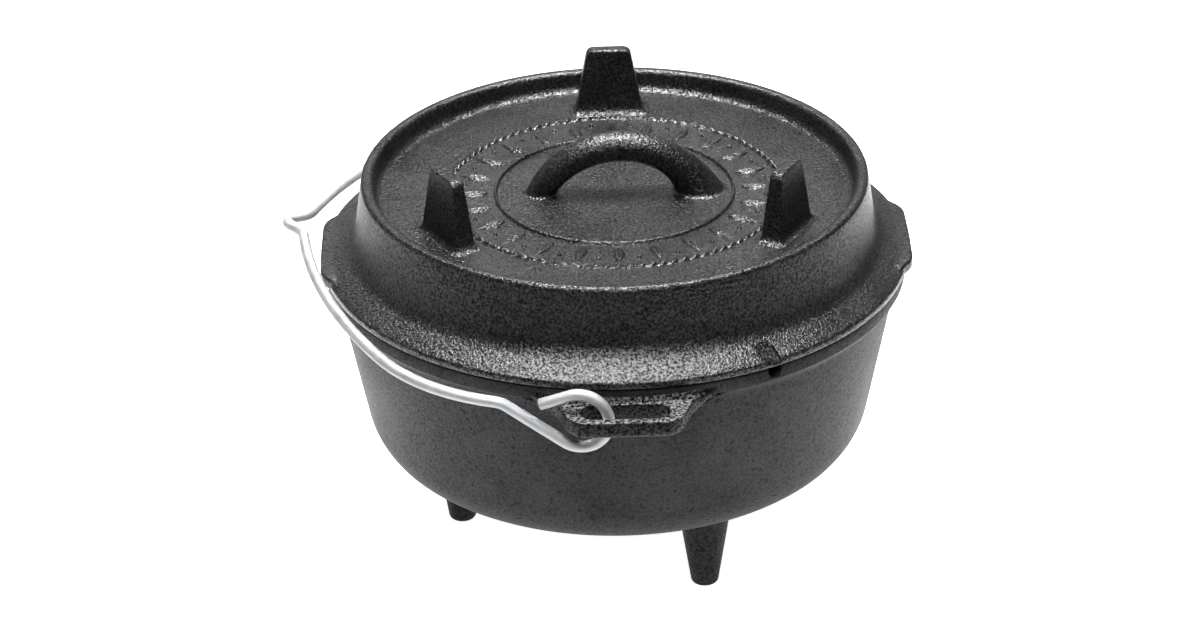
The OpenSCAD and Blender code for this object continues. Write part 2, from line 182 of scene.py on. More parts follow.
# Pot bowl
# A round bowl of grey iron, poured in sand with a thick collar round its mouth, then oiled and
# baked black. A notch in the rim lets a thermometer lead in.
def cast_iron(name, grit_high_mm, rough, shine, tones, painted_light_colour=None):
    """Sand-cast iron under a baked coat of oil: near black, with a satin gloss that the grit breaks up.

    Height = grit + pores + slow swells, each from a noise of its own spacing. The oil lies in blotches, which
    differ in roughness and tone. It is thin on the grit's tops, which shine, and dull in its hollows. Where a
    painted light colour is given, the grit's tops take it on faces that look up: painted light from above.
    Sand of this kind has grains of about 0.3 mm, drawn at 1 mm here so that they show at the render's size.
    """
    grit_mm = 1.0
    pore_mm = 1.7
    pore_high_mm = 0.06
    swell_mm = 5.0
    swell_high_mm = 0.25
    blotch_mm = 20.0
    pore_edge = (0.30, 0.38)
    tone_span = (0.25, 0.70)
    upward_span = (0.6, 0.95)
    painted_light_span = (0.45, 0.62)
    blotch_span = (0.3, 0.7)
    grit_span = (0.38, 0.62)
    material, tree, out = new_material(name)
    place = add(tree, "TexCoord").outputs
    at = place["Object"]
    grit = add(tree, "TexNoise", {"Vector": at, "Scale": 1 / (grit_mm * MM), "Detail": 2.0,
                                  "Roughness": 0.65})
    pore = add(tree, "TexNoise", {"Vector": at, "Scale": 1 / (pore_mm * MM), "Detail": 1.0})
    swell = add(tree, "TexNoise", {"Vector": at, "Scale": 1 / (swell_mm * MM), "Detail": 2.0})
    blotch = add(tree, "TexNoise", {"Vector": at, "Scale": 1 / (blotch_mm * MM), "Detail": 4.0})
    full = add(tree, "MapRange", {"Value": pore.outputs["Fac"],
                                  "From Min": pore_edge[0], "From Max": pore_edge[1]})
    oil = add(tree, "Math", {0: blotch.outputs["Fac"], 1: full.outputs["Result"]}, operation="MULTIPLY")
    tone = add(tree, "ValToRGB", {"Fac": oil.outputs["Value"]})
    for stop, share, code in zip(tone.color_ramp.elements, tone_span, tones):
        stop.position = share
        stop.color = linear(code)
    colour = tone.outputs["Color"]
    # Painted light: on faces that look up, the grit's tops take a pale colour, as if lit from above
    if painted_light_colour:
        facing = add(tree, "SeparateXYZ", {"Vector": place["Normal"]})
        upper = add(tree, "MapRange", {"Value": facing.outputs["Z"],
                                       "From Min": upward_span[0], "From Max": upward_span[1]})
        painted_light = add(tree, "MapRange", {"Value": grit.outputs["Fac"],
                                        "From Min": painted_light_span[0], "From Max": painted_light_span[1],
                                        "To Max": upper.outputs["Result"]})
        colour = add(tree, "MixRGB", {"Fac": painted_light.outputs["Result"], "Color1": colour,
                                      "Color2": linear(painted_light_colour)}).outputs["Color"]
    gloss = add(tree, "MapRange", {"Value": blotch.outputs["Fac"],
                                   "From Min": blotch_span[0], "From Max": blotch_span[1],
                                   "To Min": rough[0], "To Max": rough[1]})
    glint = add(tree, "MapRange", {"Value": grit.outputs["Fac"],
                                   "From Min": grit_span[0], "From Max": grit_span[1],
                                   "To Min": shine[0], "To Max": shine[1]})
    swells = add(tree, "Bump", {"Height": swell.outputs["Fac"], "Strength": 0.4,
                                "Distance": swell_high_mm * MM})
    pores = add(tree, "Bump", {"Height": full.outputs["Result"], "Strength": 0.5,
                               "Distance": pore_high_mm * MM, "Normal": swells.outputs["Normal"]})
    grits = add(tree, "Bump", {"Height": grit.outputs["Fac"], "Strength": 1.0,
                               "Distance": grit_high_mm * MM, "Normal": pores.outputs["Normal"]})
    shader = add(tree, "BsdfPrincipled", {"Base Color": colour, "Roughness": gloss.outputs["Result"],
                                          "Specular IOR Level": glint.outputs["Result"],
                                          "Normal": grits.outputs["Normal"]})
    tree.links.new(shader.outputs["BSDF"], out.inputs["Surface"])
    return material


def rounded(corners, run=2.0, arc=0.4, closed=False):
    """A line through corners given as (x, y, radius), each made an arc tangent to both its sides.

    The tangent points lie r / tan(half the corner's angle) from the corner, and the arc's middle lies
    r / sin(half) from it along the bisector. Straight runs are divided to at most run, and arcs to arc.
    """
    fewest = 4
    at = np.array([corner[:2] for corner in corners], float)
    line = []
    for i, (x, y, r) in enumerate(corners):
        if r == 0:
            line.append(at[i:i + 1])
            continue
        a = at[i - 1] - at[i]
        b = at[(i + 1) % len(at)] - at[i]
        a /= np.hypot(*a)
        b /= np.hypot(*b)
        half = np.arccos(a @ b) / 2
        middle = at[i] + (a + b) / np.hypot(*(a + b)) * r / np.sin(half)
        first = at[i] + a * r / np.tan(half) - middle
        last = at[i] + b * r / np.tan(half) - middle
        turn = np.arctan2(first[0] * last[1] - first[1] * last[0], first @ last)
        angle = np.linspace(0, turn, max(fewest, int(np.ceil(abs(turn) * r / arc)) + 1))
        angle += np.arctan2(first[1], first[0])
        line.append(middle + r * np.stack([np.cos(angle), np.sin(angle)], 1))
    line = np.concatenate(line)
    ends = np.roll(line, -1, 0) if closed else line[1:]
    starts = line if closed else line[:-1]
    parts = np.maximum(1, np.ceil(np.hypot(*(ends - starts).T) / run)).astype(int)
    which = np.repeat(np.arange(len(parts)), parts)
    share = (np.arange(len(which)) - np.repeat(np.cumsum(parts) - parts, parts)) / parts[which]
    divided = starts[which] + (ends - starts)[which] * share[:, None]
    return divided if closed else np.concatenate([divided, line[-1:]])


def skin(name, grid, material, loop=False, lengths=None, girth=0):
    """A closed surface over a grid of points in mm, which goes round along its first side.

    With loop it closes along its second side too. Otherwise each end closes on a pole at its ring's mean.
    With lengths and a girth, a UV map in metres gives the way along and the way round.
    """
    around, along = grid.shape[:2]
    number = np.arange(around * along).reshape(around, along)
    after = np.roll(number, -1, 0)
    points = grid.reshape(-1, 3)
    fans = np.zeros((0, 3), int)
    if loop:
        quads = np.stack([number, after, np.roll(after, -1, 1), np.roll(number, -1, 1)], -1).reshape(-1, 4)
    else:
        quads = np.stack([number[:, :-1], after[:, :-1], after[:, 1:], number[:, 1:]], -1).reshape(-1, 4)
        points = np.concatenate([points, grid[:, 0].mean(0)[None], grid[:, -1].mean(0)[None]])
        pole = np.full(around, around * along)
        fans = np.concatenate([np.stack([after[:, 0], number[:, 0], pole], 1),
                               np.stack([number[:, -1], after[:, -1], pole + 1], 1)])
    triangles = np.concatenate([quads[:, [0, 1, 2]], quads[:, [0, 2, 3]], fans])
    a, b, c = (points[triangles[:, i]] for i in range(3))
    inside_out = np.einsum("ij,ij->i", a, np.cross(b, c)).sum() < 0
    way = -1 if inside_out else 1
    corners = np.concatenate([quads[:, ::way].ravel(), fans[:, ::way].ravel()])
    counts = np.concatenate([np.full(len(quads), 4), np.full(len(fans), 3)])
    piece = finish_mesh(name, points * MM, corners, counts, material)
    if lengths is not None:
        i, j = np.divmod(np.arange(len(quads)), along - 1)
        v = (i[:, None] + [0, 1, 1, 0]) * girth / around
        u = np.asarray(lengths)[j[:, None] + [0, 0, 1, 1]]
        flat = np.stack([u, v], -1)[:, ::way].reshape(-1, 2) * MM
        flat = np.concatenate([flat, np.zeros((3 * len(fans), 2))])
        uv_map = piece.data.uv_layers.new(name="along_and_round")
        uv_map.data.foreach_set("uv", flat.astype(np.float32).ravel())
    return piece


def spun(profile, bearings):
    """A grid of points: each (r, z) of a profile carried round the Z axis to each bearing in degrees."""
    turn = np.radians(bearings)[:, None]
    r, z = profile.T
    return np.stack([r * np.cos(turn), r * np.sin(turn), np.broadcast_to(z, (len(bearings), len(z)))], -1)


pot_low, pot_high = (np.array(corner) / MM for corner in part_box("pot_bowl"))
collar_r = pot_high[0]
floor_z = pot_low[2]
rim_z = pot_high[2]
wall_t = 4.8
floor_t = 5.0
wall_lean = math.radians(11.2)
corner_r = 22.0
collar_out = 1.7
collar_h = 5.5
collar_slope_h = 3.0
collar_cove_r = 5.0
collar_edge_r = 1.2
notch_w = 6.0
notch_d = 4.5
notch_at = 300.0

wall_across = wall_t / math.cos(wall_lean)
wall_foot_r = collar_r - collar_out - (rim_z - floor_z) * math.tan(wall_lean)


def wall_r(z):
    """Outside radius of the leaning wall at a height."""
    return wall_foot_r + (z - floor_z) * math.tan(wall_lean)


# The bearings round the pot and the lid lie closer together at the notch
notch_reach = 4.0
bearing_step = 1.25
notch_step = 0.1
bearings = np.arange(0, 360, bearing_step)
bearings = np.concatenate([bearings[abs(bearings - notch_at) > notch_reach],
                           notch_at + np.arange(-notch_reach, notch_reach, notch_step)])
bearings.sort()
off_notch = collar_r * np.radians(bearings - notch_at)

axis_r = 1.5
slope_z = rim_z - collar_h - collar_slope_h
inside_z = floor_z + floor_t
pot_profile = rounded([(axis_r, floor_z, 0), (wall_foot_r, floor_z, corner_r),
                       (wall_r(slope_z), slope_z, collar_cove_r), (collar_r, rim_z - collar_h, collar_edge_r),
                       (collar_r, rim_z, collar_edge_r), (wall_r(rim_z) - wall_across, rim_z, collar_edge_r),
                       (wall_r(inside_z) - wall_across, inside_z, corner_r - wall_t), (axis_r, inside_z, 0)],
                      arc=0.8)
pot_grid = spun(pot_profile, bearings)
# The notch is a round-bottomed channel: a half circle with upright sides above its middle
in_notch = np.clip(1 - (2 * off_notch / notch_w) ** 2, 0, 1) ** 0.5
notch_bottom = rim_z - np.where(in_notch > 0, notch_d - notch_w / 2 * (1 - in_notch), 0)
pot_grid[..., 2] = np.minimum(pot_grid[..., 2], notch_bottom[:, None])

# Its tones are lighter than the lid's: a painted reflection of the bright floor that the lower wall faces
pot_iron = cast_iron("sand_cast_iron_pot", grit_high_mm=0.15, rough=(0.5, 0.6), shine=(0.05, 0.2),
                     tones=("#161616", "#2e2e2f"))
bowl = skin("pot_bowl_casting", pot_grid, pot_iron)
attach(bowl, "pot")
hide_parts("pot_bowl")


# Pot legs
# Three tapered stub legs, poured with the pot. Each runs into the underside with a small fillet, and
# its tip is rounded. They are painted blacker than the wall: painted shade for the shadow under the bowl.
leg_tip_r = 5.0
leg_taper = math.radians(8.8)
leg_fillet_r = 2.4
leg_edge_r = 2.0
leg_axis_r = 0.5
leg_sunk = 0.6
leg_step = 6
leg_top_r = leg_tip_r + floor_z * math.tan(leg_taper)
leg_spread_r = leg_top_r + leg_fillet_r
leg_profile = rounded([(leg_axis_r, 0, 0), (leg_tip_r, 0, leg_edge_r), (leg_top_r, floor_z, leg_fillet_r),
                       (leg_spread_r, floor_z, 0), (leg_spread_r, floor_z + leg_sunk, 0),
                       (leg_axis_r, floor_z + leg_sunk, 0)], arc=0.3)
leg_grid = spun(leg_profile, np.arange(0, 360, leg_step))
# Darker tones than the pot's: painted shade for the shadow under the bowl
painted_shade_leg_iron = cast_iron("sand_cast_iron_legs_painted_shade", grit_high_mm=0.15, rough=(0.5, 0.6), shine=(0.05, 0.25),
                     tones=("#0a0a0a", "#161617"))
for name in ("pot_leg_left", "pot_leg_front", "pot_leg_back"):
    low, high = (np.array(corner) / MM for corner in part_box(name))
    foot_x, foot_y = (low + high)[:2] / 2
    leg = skin(name + "_casting", leg_grid + (foot_x, foot_y, 0), painted_shade_leg_iron)
    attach(leg, "pot")
    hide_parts(name)


# Ears
# A flat lug on each side of the pot, poured with it, with a long slot for the bail's hook. Its
# edge is crisp above and well rounded below, and gussets under its roots run down the wall.
def polar(line, middle, angles):
    """Points of a closed line at given angles round a middle that sees all of it, by its radius at each."""
    out = line - middle
    angle = np.arctan2(out[:, 1], out[:, 0])
    order = np.argsort(angle)
    r = np.interp(angles, angle[order], np.hypot(*out.T)[order], period=2 * np.pi)
    return middle + r[:, None] * np.stack([np.cos(angles), np.sin(angles)], 1)


def angles_of(middle, *lines):
    """The angles of all the points of some lines round a middle, in order, without repeats."""
    seen = np.concatenate([np.arctan2(*(line - middle).T[::-1]) for line in lines])
    return np.unique(np.round(seen, decimals=4))


def edge_normals(line):
    """Unit outward normals of an anticlockwise closed line: each is square to its neighbours' chord."""
    chord = np.roll(line, -1, 0) - np.roll(line, 1, 0)
    out = np.stack([chord[:, 1], -chord[:, 0]], 1)
    return out / np.hypot(*out.T)[:, None]


def fillet(gap, r):
    """Height of a hollow fillet of radius r at a gap from the wall it climbs: r - sqrt(r^2 - (r - gap)^2)."""
    near = np.clip(r - gap, 0, r)
    return r - np.sqrt(r * r - near * near)


ear_high = np.array(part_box("ear_rear")[1]) / MM
ear_r = ear_high[1]
ear_top_z = ear_high[2]
ear_t = 6.6
ear_under_z = ear_top_z - ear_t
ear_tip = 19.2
ear_neck = 25.0
ear_tip_r = 9.0
ear_root_r = 8.0
ear_edge_r = 0.9
ear_under_r = 2.2
ear_root_depth = 1.2 * wall_t
ear_root_reach = collar_r - ear_root_depth
slot_half_l = 15.5
slot_half_w = 5.0
slot_r = 4.2
slot_bar = 3.6
slot_mid = np.array([0, ear_r - slot_bar - slot_half_w])
root_out = (37.0, 101.5)
root_in = (31.0, 98.5)
ear_half = [(*root_in, 0), (*root_out, 0), (ear_neck, collar_r, ear_root_r), (ear_tip, ear_r, ear_tip_r)]
ear_line = rounded(ear_half + [(-x, y, r) for x, y, r in ear_half[::-1]], run=0.8, arc=0.5, closed=True)
slot_line = slot_mid + rounded([(slot_half_l, -slot_half_w, slot_r), (slot_half_l, slot_half_w, slot_r),
                                (-slot_half_l, slot_half_w, slot_r), (-slot_half_l, -slot_half_w, slot_r)],
                               run=0.8, arc=0.4, closed=True)
ear_seen = angles_of(slot_mid, ear_line, slot_line)
ear_out = polar(ear_line, slot_mid, ear_seen)
ear_out *= np.maximum(1, ear_root_reach / np.hypot(*ear_out.T))[:, None]
ear_out[:, 1] = np.minimum(ear_out[:, 1], ear_r)
ear_in = polar(slot_line, slot_mid, ear_seen)
ear_out_n = edge_normals(ear_out)
ear_in_n = edge_normals(ear_in)

# Rounded edges take the angles of a quarter circle, and the flat between them is divided evenly
quarter_parts = 6
flat_parts = 8
quarter = np.radians(np.linspace(0, 90, quarter_parts + 1))
over_flat = np.linspace(0, 1, flat_parts + 1)[1:-1]
ear_rings = []
for side, r in ((1, ear_edge_r), (-1, ear_under_r)):
    edge_cut = r * (1 - np.cos(quarter))
    edge_drop = r * (1 - np.sin(quarter))
    hole_cut = ear_edge_r * (1 - np.cos(quarter))
    hole_drop = ear_edge_r * (1 - np.sin(quarter))
    hole = [(ear_in + ear_in_n * c, side, d) for c, d in zip(hole_cut, hole_drop)]
    edge = [(ear_out - ear_out_n * c, side, d) for c, d in zip(edge_cut, edge_drop)]
    flat = [((1 - f) * hole[-1][0] + f * edge[-1][0], side, 0.0) for f in over_flat]
    ear_rings += (hole + flat + edge[::-1])[::side]
ear_plan = np.stack([ring[0] for ring in ear_rings], 1)
ear_upper = np.array([ring[1] for ring in ear_rings]) > 0
ear_drop = np.array([ring[2] for ring in ear_rings])
ear_reach = np.hypot(ear_plan[..., 0], ear_plan[..., 1])
# Hollow fillets meet the collar above and the leaning wall below, where they grow to a gusset each side
top_fillet_r = 2.0
under_fillet_r = 3.5
gusset_r = 8.0
gusset_at = 20.0
gusset_w = 6.0
gusset_off = (abs(ear_plan[..., 0]) - gusset_at) / gusset_w
swept_r = under_fillet_r + (gusset_r - under_fillet_r) * np.exp(-gusset_off ** 4)
# The underside sweeps up into the collar at both roots, by a smooth step: 3 s^2 - 2 s^3
lift_from = 22.0
lift_to = 35.0
lift_h = 5.0
lift = np.clip((abs(ear_plan[..., 0]) - lift_from) / (lift_to - lift_from), 0, 1)
under_z = ear_under_z + lift_h * lift * lift * (3 - 2 * lift)
swept_gap = ear_reach - wall_r(under_z - swept_r) - swept_r * (1 / math.cos(wall_lean) - 1)
ear_z = np.where(ear_upper, ear_top_z - ear_drop + fillet(ear_reach - collar_r, top_fillet_r),
                 np.minimum(under_z + ear_drop, ear_top_z - ear_drop) - fillet(swept_gap, swept_r))
ear_grid = np.concatenate([ear_plan, ear_z[..., None]], -1)
# The ears keep more of the sand's grit than the wall. Their faces are painted darker, as painted shade,
# and the grit's tops on their upper faces are painted pale, as painted light from above
ear_iron = cast_iron("sand_cast_iron_ears", grit_high_mm=0.3, rough=(0.36, 0.46), shine=(0.0, 0.4),
                     tones=("#040404", "#0e0e0f"), painted_light_colour="#7c7c7d")
for name, way in (("ear_rear", 1), ("ear_front", -1)):
    ear = skin(name + "_casting", ear_grid * (way, way, 1), ear_iron, loop=True)
    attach(ear, "pot")
    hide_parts(name)


# Lid pan
# The lid is a second casting: a sloping flange that sheds ash, a leaning side wall, and a shallow
# tray inside the rim for coals. A lip below keeps it in the pot's mouth.
lid_low, lid_high = (np.array(corner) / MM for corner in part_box("lid_pan"))
flange_r = lid_high[0]
lip_h = 4.0
lip_w = 4.4
lip_gap = 1.0
lid_z = lid_low[2] + lip_h
lid_h = lid_high[2] - lid_z
tray_d = 7.8
plate_t = 4.7
flange_edge_t = 2.6
flange_w = 12.0
flange_slope = math.radians(26)
lid_lean = math.radians(8)
lid_wall_t = 4.8
rim_w = 4.2
rim_r = 1.9
tray_draft = 1.2
tray_r = 3.2
cove_r = 8.0
ceiling_r = 6.0
lid_edge_r = 1.2

plate_z = lid_z + lid_h - tray_d
lip_r = wall_r(rim_z) - wall_across - lip_gap
side_foot_r = flange_r - flange_w
side_foot_h = flange_edge_t + flange_w * math.tan(flange_slope)


def side_r(h):
    """Outside radius of the lid's leaning wall at a height above the flange's underside."""
    return side_foot_r - (h - side_foot_h) * math.tan(lid_lean)


tray_foot = lid_h - tray_d
ceiling = tray_foot - plate_t
rim_out = side_r(lid_h)
rim_in = rim_out - rim_w
ceiling_out = side_r(ceiling) - lid_wall_t / math.cos(lid_lean)
lid_profile = rounded([(axis_r, ceiling, 0), (ceiling_out, ceiling, ceiling_r),
                       (lip_r - lip_w, -lip_h, lid_edge_r), (lip_r, -lip_h, lid_edge_r),
                       (lip_r, 0, lid_edge_r / 2), (flange_r, 0, lid_edge_r / 2),
                       (flange_r, flange_edge_t, lid_edge_r), (side_foot_r, side_foot_h, cove_r),
                       (rim_out, lid_h, rim_r), (rim_in, lid_h, rim_r),
                       (rim_in - tray_draft, tray_foot, tray_r), (axis_r, tray_foot, 0)], arc=0.5)
lid_grid = spun(lid_profile, bearings)
# A shallow groove runs down the flange over the notch: it deepens slowly and ends in a step
groove_w = 7.0
groove_d = 1.5
groove_step = 0.9
on_flange = (lid_profile[:, 0] > side_foot_r + cove_r / 2) & (lid_profile[:, 1] > flange_edge_t / 2)
groove_end = notch_w / 4
groove_at = [groove_end - groove_w, groove_end, groove_end + groove_step]
groove = groove_d * np.interp(off_notch, groove_at, [0, 1, 0])
lid_grid[..., 2] += lid_z - groove[:, None] * on_flange

# The lid has deeper grit and more oil than the pot, so it glistens
lid_iron = cast_iron("sand_cast_iron_lid", grit_high_mm=0.45, rough=(0.26, 0.36), shine=(0.1, 0.85),
                     tones=("#050505", "#111112"))
pan = skin("lid_pan_casting", lid_grid, lid_iron)
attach(pan, "lid")
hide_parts("lid_pan")


# Lid relief
# A ring of low relief poured with the plate round the handle: a plain bead, a row of pointed
# leaves with a pearl between each pair, and a rope border.
leaf_count = 24
bead_at = 44.5
bead_w = 2.4
rope_at = 63.0
rope_w = 4.0
rope_strands = 96
strand_d = 0.25
strand_lean = 1.6
leaf_from = 47.5
leaf_to = 59.5
leaf_half_w = 3.6
leaf_bow = 0.8
leaf_point_w = 1e-3
leaf_least_w = 0.05
rib_d = 0.45
rib_w = 0.5
pearl_at = 56.5
pearl_r = 1.5
relief_h = 1.2
relief_sunk = 0.5
ring_step = 0.35
ring_turn_step = 0.3
ring_r = np.arange(bead_at - bead_w, rope_at + rope_w, ring_step)[None]
ring_turn = np.radians(np.arange(0, 360, ring_turn_step))[:, None]
# The turn runs from -1/2 to 1/2 over each leaf, and the pearls lie half a leaf further on
leaf_turn = (ring_turn * leaf_count / (2 * np.pi) + 0.5) % 1 - 0.5
leaf_off = ring_r * leaf_turn * 2 * np.pi / leaf_count
pearl_off = ring_r * (leaf_turn % 1 - 0.5) * 2 * np.pi / leaf_count


def dome(far, half):
    """A soft rise that is 1 at the middle and 0 from half away: cos(90 degrees far / half)^2."""
    return np.cos(np.pi / 2 * np.clip(abs(far / half), 0, 1)) ** 2


# A leaf bows out between two points and has a rib line sunk along its middle, and a rope's strands lean
leaf_share = np.clip((ring_r - leaf_from) / (leaf_to - leaf_from), 0, 1)
leaf_w = leaf_half_w * np.sin(np.pi * leaf_share ** leaf_bow) + leaf_point_w
rib = 1 - rib_d * np.exp(-(leaf_off / rib_w) ** 2)
leaf_h = dome(leaf_off, leaf_w) * rib * (leaf_w > leaf_least_w)
strand = 1 - strand_d + strand_d * np.cos(rope_strands * ring_turn + (ring_r - rope_at) * strand_lean)
relief = np.maximum.reduce([dome(ring_r - bead_at, bead_w / 2) * np.ones_like(ring_turn),
                            dome(ring_r - rope_at, rope_w / 2) * strand, leaf_h,
                            dome(np.hypot(ring_r - pearl_at, pearl_off), pearl_r)])
relief_z = plate_z - relief_sunk + (relief_h + relief_sunk) * relief
relief_top = np.stack([ring_r * np.cos(ring_turn), ring_r * np.sin(ring_turn), relief_z], -1)
relief_base = relief_top[:, [-1, 0]]
relief_base[..., 2] = plate_z - 2 * relief_sunk
ornament = skin("lid_relief_casting", np.concatenate([relief_top, relief_base], 1), lid_iron, loop=True)
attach(ornament, "lid")


# Lid legs
# Three blades poured with the lid, wider and thicker at the foot for draft. The lid stands on
# them when it is turned over as a pan.
lid_leg_h = np.array(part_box("lid_leg_back")[1])[2] / MM - plate_z
lid_leg_half_w = (13.0, 8.3)
lid_leg_half_t = (4.2, 2.4)
lid_leg_edge_r = 0.8
lid_leg_top_r = 0.8
lid_leg_corner_r = 2.6
lid_leg_fillet_r = 2.6
blade_sunk = 0.5
blade_parts = 11
foot_up = lid_leg_fillet_r * (1 - np.cos(quarter))
corner_up = lid_leg_h - lid_leg_corner_r + (lid_leg_corner_r - lid_leg_top_r) * np.sin(quarter)
top_up = lid_leg_h - lid_leg_top_r * (1 - np.sin(quarter))
side_up = np.linspace(lid_leg_fillet_r, corner_up[0], blade_parts + 1)[1:-1]
up = np.concatenate([[-blade_sunk], foot_up, side_up, corner_up[:-1], top_up])
# The half widths go evenly from the foot's to the top's, with a fillet below and rounded edges above
grow = fillet(np.maximum(up, 0), lid_leg_fillet_r)
blade_w = np.interp(up, [0, lid_leg_h], lid_leg_half_w) + grow - fillet(lid_leg_h - up, lid_leg_corner_r)
blade_t = np.interp(up, [0, lid_leg_h], lid_leg_half_t) + grow - fillet(lid_leg_h - up, lid_leg_top_r)
blade_r = lid_leg_edge_r + grow
# Each ring is a rectangle with rounded corners: four quarter circles, moved out to its corners
corner_turn = (quarter[None] + np.arange(4)[:, None] * np.pi / 2).ravel()[:, None]
corner_x = np.repeat([1, -1, -1, 1], len(quarter))[:, None]
corner_y = np.repeat([1, 1, -1, -1], len(quarter))[:, None]
blade_x = corner_x * (blade_t - blade_r) + blade_r * np.cos(corner_turn)
blade_y = corner_y * (blade_w - blade_r) + blade_r * np.sin(corner_turn)
for name, bearing in (("lid_leg_back", 90), ("lid_leg_left", 210), ("lid_leg_right", 330)):
    low, high = (np.array(corner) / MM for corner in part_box(name))
    out_x, out_y = math.cos(math.radians(bearing)), math.sin(math.radians(bearing))
    foot_at = (low + high) / 2
    blade_grid = np.stack([foot_at[0] + blade_x * out_x - blade_y * out_y,
                           foot_at[1] + blade_x * out_y + blade_y * out_x,
                           np.broadcast_to(plate_z + up, blade_x.shape)], -1)
    blade = skin(name + "_casting", blade_grid, lid_iron)
    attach(blade, "lid")
    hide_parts(name)


# Lid handle
# A round bar poured with the lid, arched over the plate for a lifter's hook. It thickens towards
# its right foot, and spreads at both feet.
handle_low, handle_high = (np.array(corner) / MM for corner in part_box("lid_handle"))
handle_x = (handle_low + handle_high)[0] / 2
handle_foot = 30.0
bar_right_r = 8.3
bar_crown_r = 5.8
bar_left_r = 5.0
handle_fillet_r = 1.2
handle_sunk = 0.4
arch_rise = handle_high[2] - plate_z - bar_crown_r
arch_r = (handle_foot ** 2 + arch_rise ** 2) / (2 * arch_rise)
arch_z = plate_z + arch_rise - arch_r
bar_step = 7.5
bar_parts = 120
bar_turn = np.radians(np.arange(0, 360, bar_step))[:, None]
bar_share = (1 - np.cos(np.linspace(0, np.pi, bar_parts + 1)))[None] / 2
from_crown = 1 - 2 * bar_share
to_right = np.clip(from_crown, 0, 1)
to_left = np.clip(-from_crown, 0, 1)
# The bar swells late towards its right foot, and thins slowly towards its left one
bar_r = bar_crown_r + (bar_right_r - bar_crown_r) * to_right ** 4 + (bar_left_r - bar_crown_r) * to_left ** 2
# Each line along the bar runs from the plate at one foot to the plate at the other
foot_rise = plate_z - handle_sunk - arch_z
first_turn = np.arcsin(foot_rise / (arch_r + bar_right_r * np.cos(bar_turn)))
last_turn = np.pi - np.arcsin(foot_rise / (arch_r + bar_left_r * np.cos(bar_turn)))
arch_turn = first_turn + (last_turn - first_turn) * bar_share
line_r = arch_r + bar_r * np.cos(bar_turn)
bar_x = line_r * np.cos(arch_turn)
bar_y = bar_r * np.sin(bar_turn) * np.ones_like(arch_turn)
bar_z = arch_z + line_r * np.sin(arch_turn)
middle_x = np.sign(bar_x) * np.sqrt(np.clip(arch_r ** 2 - (bar_z - arch_z) ** 2, 0, None))
from_middle = np.hypot(bar_x - middle_x, bar_y)
bar_spread = fillet(np.maximum(bar_z - plate_z, 0), handle_fillet_r) / from_middle
bar_grid = np.stack([handle_x + bar_x + (bar_x - middle_x) * bar_spread, bar_y * (1 + bar_spread), bar_z], -1)
handle = skin("lid_handle_casting", bar_grid, lid_iron)
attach(handle, "lid")
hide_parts("lid_handle")


# Lid tabs
# A thick lug on each side of the flange, poured with it, to knock or lift the lid by. Its top is
# level and dies into the flange, and its corners run into the flange's edge in a hollow curve.
tab_edge = np.array(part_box("lid_tab_right")[1])[0] / MM
tab_half = 21.5
tab_t = 4.2
tab_r = 12.0
tab_crown = 0.4
tab_crown_r = 300.0
tab_hollow_r = 12.0
tab_edge_r = 1.2
tab_under_r = 0.6
tab_ends = 36.0
tab_fade = 12.0
tab_sunk = 0.1
tab_blend = 1.0
tab_root_in = 9
tab_root_half = 40.0
tab_root = (flange_r - tab_root_in, tab_root_half)
tab_meet = (106.6, 27.0)
tab_side = [(*tab_root, 0), (*tab_meet, tab_hollow_r), (tab_edge - tab_crown, tab_half, tab_r)]
tab_line = rounded([(x, -y, r) for x, y, r in tab_side] + [(tab_edge, 0, tab_crown_r)] + tab_side[::-1],
                   run=1.0, arc=0.5, closed=True)
tab_mid_out = 3
tab_mid = np.array([tab_root[0] + tab_mid_out, 0])
tab_seen = angles_of(tab_mid, tab_line)
tab_out = polar(tab_line, tab_mid, tab_seen)
tab_out_n = edge_normals(tab_out)
# The rings go out over the underside, round the lower and the upper edge, and in over the top
under_shares = (0.1, 0.4, 0.7, 0.95)
over_shares = np.linspace(0.96, 0.08, 14)
tab_rings = [(tab_mid + (tab_out - tab_mid) * f, -1, 0.0) for f in under_shares]
tab_rings += [(tab_out - tab_out_n * tab_under_r * (1 - np.cos(q)), -1, tab_under_r * (1 - np.sin(q)))
              for q in quarter[::-1]]
tab_rings += [(tab_out - tab_out_n * tab_edge_r * (1 - np.cos(q)), 1, tab_edge_r * (1 - np.sin(q)))
              for q in quarter]
tab_rings += [(tab_mid + (tab_rings[-1][0] - tab_mid) * f, 1, 0.0) for f in over_shares]
tab_plan = np.stack([ring[0] for ring in tab_rings], 1)
tab_upper = np.array([ring[1] for ring in tab_rings]) > 0
tab_drop = np.array([ring[2] for ring in tab_rings])
tab_reach = np.hypot(tab_plan[..., 0], tab_plan[..., 1])
# The top is the higher of a level pad, which fades at its ends, and the flange's slope, softly joined
fade = np.clip((tab_ends - abs(tab_plan[..., 1])) / tab_fade, 0, 1)
level = flange_edge_t + (tab_t - flange_edge_t) * fade * fade * (3 - 2 * fade)
slope = flange_edge_t + np.clip(flange_r - tab_reach, 0, None) * math.tan(flange_slope)
tab_top = (level + slope + np.sqrt((level - slope) ** 2 + (tab_blend * fade) ** 2)) / 2 - tab_sunk
tab_z = lid_z + np.where(tab_upper, tab_top - tab_drop, tab_drop)
tab_grid = np.concatenate([tab_plan, tab_z[..., None]], -1)
for name, way in (("lid_tab_right", 1), ("lid_tab_left", -1)):
    tab = skin(name + "_casting", tab_grid * (way, way, 1), lid_iron)
    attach(tab, "lid")
    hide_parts(name)


